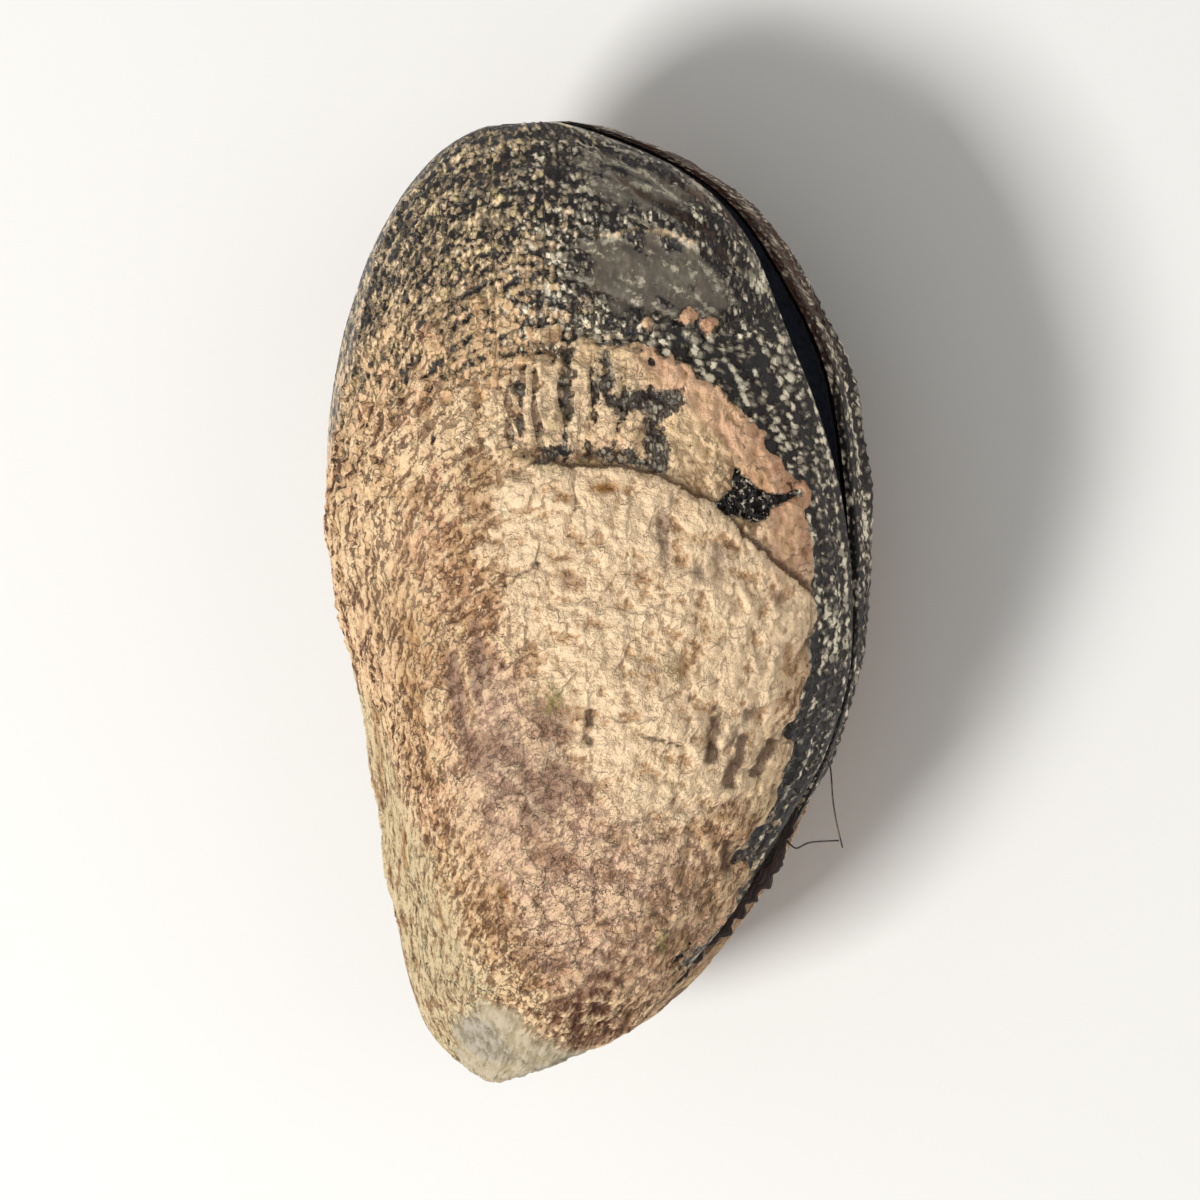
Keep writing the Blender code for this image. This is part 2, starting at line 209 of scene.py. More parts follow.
# Soft spots: x, y, half width, half length, turn in degrees, strength.
SPOTS = {
    "mauve": [
        (8.5, 12.5, 5.0, 3.0, 0, 0.30), (10.5, 27.0, 2.0, 1.6, 0, 0.45),
        (2.65, 20.8, 0.35, 2.6, -4, 1.0), (4.9, 20.1, 0.4, 2.8, 0, 0.9), (6.05, 19.2, 0.35, 2.7, -3, 0.8),
        (6.0, 17.2, 3.4, 4.0, 0, 0.75), (4.4, 14.4, 1.8, 1.2, 0, 0.6), (11.25, 29.1, 0.25, 1.2, 0, 0.8),
        (13.2, 28.4, 0.28, 1.7, 0, 1.0), (15.5, 26.8, 0.3, 1.2, -8, 0.9), (14.6, 26.4, 0.35, 0.5, 0, 0.8),
        (17.6, 24.7, 0.3, 0.9, -10, 0.7), (16.1, 19.6, 0.25, 0.8, 30, 1.0),
        (15.2, 18.2, 0.2, 0.7, 30, 1.0), (17.0, 17.9, 0.2, 0.7, 30, 0.9), (11.0, 24.0, 1.2, 1.6, 0, 0.4),
        (12.5, 21.5, 1.5, 1.2, 0, 0.5), (5.2, 7.6, 1.6, 0.9, 30, 0.5), (7.4, 6.9, 1.2, 0.8, 0, 0.5),
    ],
    "ochre": [
        (10.7, 30.7, 0.75, 0.3, 0, 1.0), (-2.6, 12.3, 0.22, 1.5, 14, 1.0), (-0.1, 9.3, 0.2, 0.8, 10, 0.7),
        (4.0, 11.0, 0.4, 0.6, 10, 0.9), (8.9, 40.5, 0.35, 0.8, 20, 1.0), (-4.6, 17.5, 0.3, 3.0, 8, 0.6),
        (16.7, 36.1, 0.25, 0.25, 0, 0.9), (13.6, 21.9, 0.3, 0.4, 0, 0.6), (0.5, 23.0, 1.6, 3.5, 6, 0.35),
    ],
    "olive": [
        (7.6, 20.8, 0.7, 0.8, 0, 0.9), (10.6, 8.0, 0.5, 0.7, 20, 0.9), (-0.5, 45.3, 0.5, 0.5, 0, 0.9),
        (11.9, 32.1, 0.9, 0.35, -10, 0.8), (8.6, 31.9, 2.6, 0.25, 0, 0.8), (7.0, 32.6, 0.8, 0.4, 0, 0.7),
        (8.2, 33.2, 0.5, 1.2, 0, 0.5), (13.0, 22.0, 1.0, 0.8, 0, 0.4), (3.0, 31.0, 1.5, 1.2, 0, 0.3),
        (2.0, 43.0, 2.0, 0.8, 30, 0.35),
    ],
    "brown": [
        (4.6, 27.2, 2.6, 2.4, 0, 0.9), (9.3, 7.3, 1.0, 3.0, 35, 0.3), (12.0, 11.0, 0.8, 2.5, 25, 0.2),
        (1.4, 12.6, 1.6, 4.2, -28, 0.65), (-3.0, 20.0, 1.2, 5.0, 5, 0.3),
    ],
    "rust": [(6.2, 4.3, 1.7, 2.4, 35, 1.0), (4.8, 2.8, 0.9, 1.6, 20, 0.8), (7.6, 6.2, 0.8, 1.6, 35, 0.6)],
    "vein": [
        (3.7, 11.0, 0.16, 2.9, -27, 1.0), (2.6, 13.7, 0.9, 0.16, -10, 0.9),
        (3.2, 12.6, 0.8, 0.13, 20, 0.8), (4.5, 10.0, 0.12, 1.2, -60, 0.7), (6.1, 18.3, 0.14, 1.6, 8, 0.6),
        (3.8, 20.6, 0.12, 1.8, -3, 0.6),
    ],
    "chalk_spots": [
        (5.3, 28.8, 0.35, 0.3, 0, 1.0), (4.7, 28.1, 0.3, 0.3, 0, 1.0), (5.1, 33.1, 0.4, 0.35, 0, 1.0),
        (5.2, 17.0, 1.2, 0.25, 40, 0.6), (6.5, 15.4, 1.0, 0.2, 50, 0.7), (8.0, 31.2, 0.5, 0.35, 30, 0.7),
        (6.7, 30.6, 0.4, 0.5, 0, 0.7), (3.0, 36.0, 0.4, 0.5, 0, 0.6),
    ],
    "cracked": [
        (8.3, 10.4, 3.6, 2.6, 0, 1.0), (5.0, 9.0, 2.5, 2.5, 0, 0.7), (11.0, 14.0, 2.0, 2.0, 0, 0.5),
        (1.5, 6.0, 3.0, 2.0, 0, 0.8), (-2.0, 9.0, 1.2, 3.0, 10, 0.6),
    ],
    "bright": [
        (14.6, 33.6, 2.6, 3.0, 0, 1.0), (9.0, 35.4, 5.5, 3.0, -6, 1.0), (6.5, 37.5, 3.5, 2.0, 0, 0.6),
        (16.2, 15.6, 1.4, 2.6, 0, 0.9), (-2.5, 27.0, 4.0, 5.0, 0, 0.4),
    ],
    "blocks": [(8.6, 34.7, 5.6, 2.7, -6, 1.0), (2.0, 33.5, 3.5, 2.5, 20, 0.5)],
}

# Lines on the right valve: half width and runs of corners.
LINES = {
    "vein": (0.16, [
        [(7.6, 26.8), (7.6, 24.4), (8.1, 22.5), (8.9, 20.0), (8.9, 17.8), (6.7, 17.5), (5.9, 17.2)],
        [(3.0, 24.8), (3.4, 23.3), (3.7, 21.1), (3.7, 18.8)],
        [(4.7, 23.8), (5.7, 23.6), (6.1, 22.5), (6.2, 20.9), (6.5, 18.4)],
        [(2.5, 16.1), (3.6, 14.4), (4.3, 13.4), (4.8, 12.3), (5.9, 11.5)],
        [(9.2, 28.5), (8.0, 26.6), (6.5, 26.2)],
        [(9.3, 42.5), (12.1, 42.7), (14.3, 41.6)],
    ]),
    "seam": (0.16, [
        [(1.5, 24.3), (3.2, 25.4), (5.7, 26.4), (7.5, 27.3)],
        [(10.9, 19.5), (11.7, 18.9), (13.3, 18.1)],
        [(9.3, 31.5), (9.3, 29.6), (9.0, 28.5)],
        [(12.3, 44.9), (14.3, 43.4), (15.8, 41.8)],
        [(9.9, 45.4), (12.2, 44.1), (14.2, 42.5), (15.7, 40.6)],
    ]),
    # Slots: short sunk lines, painted dark as painted shadow.
    "slot": (0.30, [
        [(14.8, 19.8), (14.3, 17.4)], [(15.7, 18.2), (14.7, 16.0)], [(16.6, 17.7), (15.7, 16.4)],
        [(9.6, 20.0), (9.3, 18.6)], [(14.0, 12.8), (13.6, 11.4)],
    ]),
    "stripe": (0.38, [
        [(4.0, 24.2), (4.3, 21.1), (4.3, 18.0), (4.6, 16.0)],
        [(5.2, 22.6), (5.4, 20.6), (5.6, 19.0), (6.2, 17.2)],
        [(2.7, 22.6), (2.8, 19.6), (3.1, 17.6)],
    ]),
}


def tint(*channels):
    """A colour given as it looks on a screen, 0 to 255, as a linear colour."""
    return tuple((c / 255 / 12.92) if c < 10 else ((c / 255 + 0.055) / 1.055) ** 2.4 for c in channels)


def colour(name, description, *channels):
    return bpy.props.FloatVectorProperty(name=name, description=description, subtype="COLOR",
                                         size=3, min=0, max=1, default=tint(*channels))


def length(name, description, default):
    return bpy.props.FloatProperty(name=name, description=description, unit="LENGTH",
                                   default=default * MM)


def amount(name, description, default):
    return bpy.props.FloatProperty(name=name, description=description, default=default)


def count(name, description, default):
    return bpy.props.IntProperty(name=name, description=description, default=default)


class ShellSizes(bpy.types.PropertyGroup):
    """Sizes of the relief on the valves, in metres."""
    wall: length("Wall", "Thickness of the shell at its ridge", 1.1)
    crust_thickness: length("Crust", "How far the crust stands over the bare shell", 0.32)
    plateau_thickness: length("Second crust", "How far the pale second crust stands over the first", 0.30)
    plate_height: length("Plates", "Height of the crust's small plates and streaks", 0.13)
    ring_height: length("Rings", "Height of the coarser growth rings on bare shell", 0.06)
    lump_height: length("Lumps", "Height of the low lumps over the whole shell", 0.30)
    lump_size: length("Lump size", "Width of the low lumps", 3.4)
    rib_height: length("Ribs", "Height of the radial ribs on bare shell", 0.05)
    nodule_height: length("Nodules", "Height of the nodules in the bump of bare shell", 0.22)
    line_spacing: length("Growth lines", "Distance between fine growth lines", 0.46)
    ribs: count("Rib count", "Radial ribs round the edge", 260)
    rows: count("Rows", "Cross sections of the mesh", 300)
    columns: count("Columns", "Points over a section", 262)


class ShellColours(bpy.types.PropertyGroup):
    """Colours of crust, shell and ligament."""
    crust: colour("Crust", "The main pink-beige crust", 216, 172, 126)
    # Also painted highlight on the tops of the crust's plates.
    crust_pale: colour("Pale crust", "Paler grains and patches of the crust", 246, 212, 164)
    crust_pink: colour("Pink crust", "Pinker crust of the outer ledge", 226, 172, 138)
    crust_rose: colour("Rose crust", "Rose-grey crust of the front", 226, 184, 154)
    crust_tan: colour("Tan crust", "Browner areas of the crust", 186, 142, 98)
    # Also painted shade in the hollows between the crust's plates, and a brown tint on some nodules.
    crust_brown: colour("Brown crust", "Hollows between the crust's plates", 156, 114, 72)
    crust_mauve: colour("Mauve crust", "Dull mauve stripes on the crust", 136, 106, 92)
    # Dirt of the crust's cracks, also used as painted shade in its gaps, pits and slots and under the
    # ledge.
    crack: colour("Cracks", "Dirt in the cracks of the crust", 84, 52, 34)
    plateau: colour("Second crust", "The cream second crust", 254, 222, 180)
    ochre: colour("Ochre", "Ochre stains", 168, 112, 40)
    olive: colour("Olive", "Olive-yellow growth", 142, 126, 64)
    chalk: colour("Chalk", "Chalky grey-green zone of the belly side", 216, 194, 150)
    bare: colour("Bare shell", "Dark shell between the nodules", 20, 12, 10)
    bare_grey: colour("Grey nodules", "Nodules of the dark hinge side", 100, 90, 76)
    # Painted glints on the nodules' tips and on the bare patch, painted highlight on the nodules' crests,
    # and pale lines on the film.
    bare_light: colour("Light tips", "Light tips of the grey nodules", 252, 238, 208)
    nodule: colour("Nodules", "Pale nodules near the hind end", 244, 214, 172)
    nodule_yellow: colour("Yellow nodules", "Yellower nodules among them", 232, 208, 152)
    film: colour("Film", "Smooth grey-brown film", 112, 104, 90)
    umbo: colour("Umbo", "The smooth worn umbo", 172, 161, 142)
    umbo_grey: colour("Umbo streaks", "Greenish-grey streaks of the worn umbo", 132, 120, 96)
    rust: colour("Rust", "Reddish-brown shell beside the umbo", 112, 66, 44)
    inside: colour("Inside", "The hollow of the valves", 112, 118, 138)
    lip: colour("Lip", "The dark inner lip", 14, 8, 8)
    ligament: colour("Ligament", "The dried ligament", 30, 22, 18)
    thread: colour("Thread", "The fine thread by the hinge", 96, 66, 40)


class StageSettings(bpy.types.PropertyGroup):
    """Floor, lights and camera."""
    floor: colour("Floor", "The plain floor", 226, 224, 220)
    key: amount("Main light", "Power of the main light, watts", 2.6)
    fill: amount("Fill light", "Power of the fill light, watts", 0.35)
    surround: amount("Surround", "Light from all round", 0.45)
    camera_distance: length("Camera distance", "From the camera to the shell", 220)
    lens: amount("Lens", "Focal length in millimetres", 131.5)


def spline(points, count):
    """Places along a smooth closed curve through the points."""
    corners = np.array(points, float)
    at = np.linspace(0, len(corners), count, endpoint=False)
    start = at.astype(int)
    part = (at - start)[:, None]
    before, here, after, beyond = (corners[(start + k) % len(corners)] for k in (-1, 0, 1, 2))
    return 0.5 * (2 * here + (after - before) * part
                  + (2 * before - 5 * here + 4 * after - beyond) * part ** 2
                  + (3 * here - before - 3 * after + beyond) * part ** 3)


def edge_sides(y):
    """The edge's places on the belly side and on the hinge side, at y."""
    fine = spline(EDGE, 4000)
    lowest, highest = fine[:, 1].argmin(), fine[:, 1].argmax()
    hinge = fine[np.arange(lowest, highest)]
    belly = np.roll(fine, -highest, axis=0)[:len(fine) - len(hinge)][::-1]
    return np.interp(y, belly[:, 1], belly[:, 0]), np.interp(y, hinge[:, 1], hinge[:, 0])


def rise_along(y, front, hind):
    """Share of the full height at y."""
    to_front = np.clip((HIGHEST_AT - y) / (HIGHEST_AT - front), 0, 1)
    to_hind = np.clip((y - HIGHEST_AT) / (hind - HIGHEST_AT), 0, 1)
    fore = (1 - to_front ** FRONT_FULLNESS[0]) ** FRONT_FULLNESS[1]
    return fore * (1 - to_hind ** HIND_FULLNESS[0]) ** HIND_FULLNESS[1]


def arc(y, columns, height, inset, edge_height):
    """Points of one arc of each section, from the belly edge over the ridge to the hinge edge."""
    belly, hinge = edge_sides(y)
    belly, hinge = belly + inset, hinge - inset
    ridge_share = RIDGE + (RIDGE_AT_UMBO - RIDGE) * np.exp(-(np.maximum(y, 0) / RIDGE_TURN) ** 2)
    ridge = belly + (hinge - belly) * ridge_share
    belly_fullness = np.interp(y, (0, BELLY_SETTLES), BELLY_FULLNESS)
    fullness = np.interp(y, HINGE_PLACES, HINGE_FULLNESS)
    steepness = np.interp(y, HINGE_PLACES, HINGE_STEEPNESS)
    worn = np.clip(edge_height / np.maximum(height, 0.01), 0, 1) ** (1 / steepness)
    last = (1 - worn) ** (1 / fullness)
    share = np.linspace(-1, 1, columns)
    across = np.sin(share * math.pi / 2) * np.where(share > 0, last, 1)
    on_belly = 1 - np.abs(across) ** belly_fullness
    on_hinge = (1 - np.abs(across) ** fullness) ** steepness
    x = ridge + across * np.where(across < 0, ridge - belly, hinge - ridge)
    z = height * np.where(across < 0, on_belly, on_hinge)
    return np.stack([x, y + 0 * x, z], axis=-1)


def evenly(points, columns):
    """The same arcs with their points evenly far apart."""
    step = np.linalg.norm(np.diff(points, axis=1), axis=-1)
    travelled = np.concatenate([np.zeros((len(points), 1)), np.cumsum(step, axis=1)], axis=1)
    wanted = np.linspace(0, 1, columns)
    return np.array([[np.interp(wanted * way[-1], way, row[:, k]) for k in range(3)]
                     for way, row in zip(travelled, points)]).transpose(0, 2, 1)


def even_rows(count):
    """Places along Y that are evenly far apart over the ridge."""
    share = (1 - np.cos(np.linspace(0, math.pi, 900))) / 2
    y = EDGE_FRONT + 0.04 + (EDGE_HIND - EDGE_FRONT - 0.1) * share
    z = HEIGHT * rise_along(y, EDGE_FRONT, EDGE_HIND)
    travelled = np.concatenate([[0], np.cumsum(np.hypot(np.diff(y), 0.7 * np.diff(z)))])
    return np.interp(np.linspace(0, travelled[-1], count), travelled, y)[:, None]


def surface_normals(points):
    """Unit vectors out of a grid of sections by columns."""
    normal = np.cross(np.gradient(points, axis=1), np.gradient(points, axis=0))
    return normal / np.maximum(np.linalg.norm(normal, axis=-1, keepdims=True), 1e-9)


def distance(points, corners):
    """How far each point lies from a line through the corners."""
    x, y = points[..., 0], points[..., 1]
    nearest = np.full(x.shape, FAR)
    for (x0, y0), (x1, y1) in zip(corners, corners[1:]):
        dx, dy = x1 - x0, y1 - y0
        part = np.clip(((x - x0) * dx + (y - y0) * dy) / (dx * dx + dy * dy), 0, 1)
        nearest = np.minimum(nearest, np.hypot(x - x0 - part * dx, y - y0 - part * dy))
    return nearest


def depth_inside(points, outline):
    """How far each point lies inside a smooth closed outline, negative outside."""
    curve = spline(outline, 8 * len(outline))
    curve = np.concatenate([curve, curve[:1]])
    x, y = points[..., 0], points[..., 1]
    inside = np.zeros(x.shape, bool)
    for (x0, y0), (x1, y1) in zip(curve, curve[1:]):
        if abs(y1 - y0) > 1e-12:
            inside ^= ((y0 > y) != (y1 > y)) & (x < x0 + (y - y0) * (x1 - x0) / (y1 - y0))
    nearest = distance(points, curve)
    return np.where(inside, nearest, -nearest)


def near_lines(points, lines, half_width):
    """Soft lines: 1 along each run of corners, fading over the half width."""
    nearest = np.min([distance(points, line) for line in lines], axis=0)
    return np.exp(-(nearest / half_width) ** 2)


def blobs(points, places):
    """Soft spots: each place is x, y, half width, half length, turn in degrees and strength."""
    total = np.zeros(points.shape[:-1])
    for x, y, wide, long, turn, strength in places:
        cos, sin = math.cos(math.radians(turn)), math.sin(math.radians(turn))
        dx, dy = points[..., 0] - x, points[..., 1] - y
        across, along = (dx * cos - dy * sin) / wide, (dx * sin + dy * cos) / long
        total = np.maximum(total, strength * np.exp(-(across ** 2 + along ** 2) ** 1.5))
    return total


def growth_place(points):
    """Share round the edge, from 0 to 1, and scale of the growth line, for each point."""
    turn = math.radians(COIL_AXIS)
    cos, sin = math.cos(turn), math.sin(turn)
    along = points[..., 0] * cos + points[..., 1] * sin
    across = np.maximum(points[..., 1] * cos - points[..., 0] * sin, 0.01)
    rise = np.maximum(points[..., 2], 0) / FLATNESS
    angle = np.arctan2(rise, across)
    scale = np.exp(-(EXPANSION * angle + EXPANSION_RISE * angle ** 2 / 2))
    out = np.hypot(across, rise) / scale
    at = along / scale - LEAN * (1 - np.exp(-angle / LEAN_ANGLE)) * out
    edge = spline(EDGE, 3600)
    on_edge = np.stack([edge[:, 0] * cos + edge[:, 1] * sin, edge[:, 1] * cos - edge[:, 0] * sin], axis=1)
    middle = on_edge.mean(axis=0)
    bearing = np.unwrap(np.arctan2(on_edge[:, 1] - middle[1], on_edge[:, 0] - middle[0]))
    step = np.linalg.norm(np.diff(edge, axis=0), axis=1)
    travelled = np.concatenate([[0], np.cumsum(step)])
    wanted = np.arctan2(out - middle[1], at - middle[0])
    wanted = bearing[0] + (wanted - bearing[0]) % math.tau
    return np.interp(wanted, bearing, travelled / travelled[-1]), scale


def noise_at(points, size, seed, octaves=1):
    """Smooth noise between about -1 and 1, for each point; size may differ by axis."""
    shifted = (points / np.array(size) + np.array((seed, 1.7 * seed, 0))).reshape(-1, 3).tolist()
    flat = [noise.fractal(p, 0.8, 2.0, octaves) if octaves > 1 else noise.noise(p) for p in shifted]
    return np.array(flat).reshape(points.shape[:-1])


def spacing(points, values):
    """How far apart on the surface the values 0 and 1 would lie, at each point of a grid."""
    a, b = np.gradient(points, axis=0), np.gradient(points, axis=1)
    along, across = np.gradient(values, axis=0), np.gradient(values, axis=1)
    aa, bb, ab = (a * a).sum(-1), (b * b).sum(-1), (a * b).sum(-1)
    steep = along ** 2 * bb - 2 * along * across * ab + across ** 2 * aa
    return 1 / np.sqrt(np.maximum(steep / np.maximum(aa * bb - ab ** 2, 1e-12), 1e-8))


def grown_place(points, round_edge, scale, ribs, line_spacing):
    """Rib number and growth line number at each point, each growing by 1 about every half millimetre."""
    apart = spacing(points, scale)
    lines = np.zeros(scale.shape)
    sector = np.floor(round_edge * SECTORS)
    for k in range(SECTORS):
        here = sector == k
        if here.any():
            chosen = here & (scale > 0.6) if (here & (scale > 0.6)).any() else here
            lines[here] = scale[here] * np.median(apart[chosen]) / line_spacing + 7.3 * k
    return np.stack([round_edge * ribs, lines, 0 * lines], axis=-1)


def margin_place(points, line_spacing):
    """The same two numbers where rows follow the hinge margin: along it and away from it."""
    step = np.linalg.norm(np.diff(points, axis=1), axis=-1)
    away = np.concatenate([np.cumsum(step[:, ::-1], axis=1)[:, ::-1], np.zeros((len(points), 1))], axis=1)
    travelled = np.concatenate([[0], np.cumsum(np.linalg.norm(np.diff(points[:, -1], axis=0), axis=-1))])
    along = np.broadcast_to(travelled[:, None], away.shape)
    return np.stack([along / line_spacing, 500 - away / line_spacing, 0 * away], axis=-1)


def smooth(value, start, end):
    """0 before start, 1 after end, and smooth between them."""
    part = np.clip((value - start) / (end - start), 0, 1)
    return part * part * (3 - 2 * part)


def open_about_hinge(points):
    """Turns a valve's points out by half of the opening, about the line of the hinge."""
    turn, half = math.radians(HINGE_ANGLE), math.radians(OPENING / 2)
    axis = np.array((math.cos(turn), math.sin(turn), 0))
    from_hinge = points - np.array((*HINGE_POINT, 0))
    turned = (from_hinge * math.cos(half) + np.cross(axis, from_hinge) * math.sin(half)
              + (from_hinge @ axis)[..., None] * axis * (1 - math.cos(half)))
    return turned + np.array((*HINGE_POINT, 0))


def to_part(points):
    """Points of the shell's own frame, in millimetres, as places in the part's frame, in metres."""
    return (points + UMBO) * MM


def new_mesh(name, points, faces, attributes, materials, slots):
    """A smooth mesh object with float or vector attributes on its points."""
    data = bpy.data.meshes.new(name)
    data.from_pydata(points.tolist(), [], faces)
    for finish in materials:
        data.materials.append(finish)
    data.polygons.foreach_set("material_index", slots)
    for label, values in attributes.items():
        if values.ndim == 2:
            layer = data.attributes.new(label, "FLOAT_VECTOR", "POINT")
            layer.data.foreach_set("vector", values.astype(np.float32).ravel())
        else:
            layer = data.attributes.new(label, "FLOAT", "POINT")
            layer.data.foreach_set("value", values.astype(np.float32))
    data.shade_smooth()
    data.update()
    thing = bpy.data.objects.new(name, data)
    bpy.context.scene.collection.objects.link(thing)
    return thing


def valve_marks(plain, grown, scale, jag, depth, is_right, seed):
    """Each point's marks: depth inside a region, in millimetres, or strength, from 0 to about 1."""
    x, y = plain[..., 0], plain[..., 1]

    def cloud(at, size, place, octaves):
        return np.clip(0.5 + 0.75 * noise_at(at, size, place + seed, octaves), 0, 1)

    clouds = {
        "broad": cloud(plain, 4.0, 51.0, 2),
        "blotch": cloud(plain, 1.9, 77.0, 4),
        "patch": cloud(plain, 0.75, 57.0, 3),
        "flow": cloud(grown, (4.2, 1.15, 1), 63.0, 3),
        "lines": cloud(grown, (7.0, 0.9, 1), 69.0, 2),
    }
    jag = jag * (1 - 0.6 * smooth(x, 12.5, 14.5) * smooth(y, 30, 26))
    softness = smooth(12 - x, 0, 6) * smooth(y, 24, 30)
    crust = depth / (1 + 2.5 * softness) + jag * (1 + 1.6 * softness)
    away = np.full(scale.shape, -9.0)
    film, bare, cream, window = away, away, away, away
    if is_right:
        for x_place, y_place, radius in CRUST_ISLANDS:
            reach = radius - np.hypot(x - x_place, y - y_place)
            crust = np.maximum(crust, reach + 0.6 * jag)
        film = np.maximum(*(depth_inside(plain, outline) for outline in FILMS)) + 0.9 * jag
        bare = depth_inside(plain, BARE_PATCH) + 0.6 * jag
        cream = depth_inside(plain, CREAM) + 2.5 * jag
        window = np.max([depth_inside(plain, outline) for outline in WINDOWS], axis=0) + 0.5 * jag
    marks = {
        "crust": crust,
        "ledge": depth_inside(plain, PLATEAU if is_right else LEFT_PLATEAU) + 0.45 * jag,
        "sharp": smooth(0.9 * x + y, 37.0, 39.4) if is_right else 0.3 + 0 * x,
        "film": film,
        "bare_patch": bare,
        "window": window,
        "worn_umbo": depth_inside(plain, WORN_UMBO) + jag,
        "rose": smooth(depth_inside(plain, ROSE) + 2 * jag, -2.0, 1.5),
        "cream": smooth(cream, -1.6, 0.8),
        "chalky": smooth(depth_inside(plain, CHALKY) + 2 * jag, -0.8, 1.2),
        "merge": smooth(depth + 5 * jag, -8.0, 1.5) * softness,
        "pale": smooth(x + y * 0.3 + 6 * jag, 25, 13),
        "dim": smooth(x, 11.0, 14.0) * smooth(y, 27.0, 19.0),
        "flank": smooth(-x, -1.5, 3.5),
        "band": smooth(depth, 1.9, 1.1) * smooth(x, 11.5, 13.0) * smooth(y, 24.0, 27.0),
    }
    marks.update({label: blobs(plain, places) for label, places in SPOTS.items()})
    shaken = plain + 0.6 * np.stack([jag, np.roll(jag, 9, axis=0), 0 * jag], axis=-1)
    broken = np.clip(0.2 + 1.4 * clouds["patch"], 0, 1) * is_right
    lines = {label: near_lines(shaken, runs, wide) * broken for label, (wide, runs) in LINES.items()}
    marks["vein"] = np.maximum(marks["vein"], lines["vein"])
    marks["mauve"] = np.maximum(marks["mauve"], lines["stripe"])
    marks["seam"] = np.maximum(lines["seam"], SLOT_STRENGTH * lines["slot"])
    if not is_right:
        hind_margin = smooth(x + y, 52.0, 57.0) * smooth(scale, 0.950, 0.985)
        marks["rust"] = np.maximum(marks["rust"], 0.8 * hind_margin)
    between = np.cos(math.tau * grown[..., 0] / 4 + 1.5 * noise_at(plain, 2.5, 37.0))
    between = smooth(between, 0.3, 0.9)
    marks["groove"] = between * marks["blocks"]
    marks["block_tops"] = (1 - between) * marks.pop("blocks")
    marks.update(clouds)
    return marks


def valve_relief(plain, grown, scale, marks, is_right, seed):
    """Height over the smooth valve, in millimetres."""
    sizes = bpy.context.scene.mussel_sizes
    plate, crust_height = sizes.plate_height / MM, sizes.crust_thickness / MM
    on_crust = smooth(marks["crust"], -0.1, 0.1)
    bare_share = 1 - 0.8 * on_crust
    relief = plate * (smooth(marks["patch"], 0.38, 0.60) - 0.5) * (0.35 + 0.65 * on_crust)
    relief += plate * (smooth(marks["flow"], 0.40, 0.60) - 0.5) * (0.4 + 0.3 * marks["flank"])
    relief += GRAIN_RISE * noise_at(plain, 0.38, 17.0 + seed)
    relief *= 1 - (0.65 * marks["chalky"] if is_right else 0.5)
    relief += sizes.lump_height / MM * noise_at(plain, sizes.lump_size / MM, seed)
    relief += crust_height * on_crust
    ledge = smooth(marks["ledge"] / (0.14 + 1.6 * (1 - marks["sharp"])), -1, 1)
    relief += sizes.plateau_thickness / MM * ledge
    wave = 2.5 * noise_at(grown, (30.0, 9.0, 1.0), 43.0 + seed)
    rings = np.cos(math.tau * grown[..., 1] / RING_ROWS + wave)
    relief += sizes.ring_height / MM * rings * bare_share
    ribs = np.cos(math.tau * grown[..., 0]) * smooth(scale, 0.45, 0.6) * smooth(marks["film"], 0.3, -0.3)
    relief += sizes.rib_height / MM * ribs * bare_share
    wander = 0.012 * noise_at(plain, 4.0, 23.0 + seed)
    for check in GROWTH_CHECKS:
        past = (scale + wander - check) / CHECK_LENGTH
        relief -= CHECK_DEPTH * np.where(past >= 0, np.exp(-np.maximum(past, 0)), 0) * bare_share
    relief -= GROOVE_DEPTH * marks["groove"] + STRIPE_DEPTH * marks["mauve"] + SEAM_DEPTH * marks["seam"]
    relief += SPOT_RISE * marks["chalk_spots"] + VEIN_RISE * marks["vein"]
    relief += BLOTCH_RISE * (smooth(marks["blotch"], 0.36, 0.56) - 0.5) * on_crust
    relief -= 0.8 * crust_height * smooth(marks["window"], -0.15, 0.15)
    relief -= crust_height * smooth(marks["bare_patch"], -0.1, 0.15)
    return relief - FILM_DEPTH * smooth(marks["film"], -0.2, 0.2)


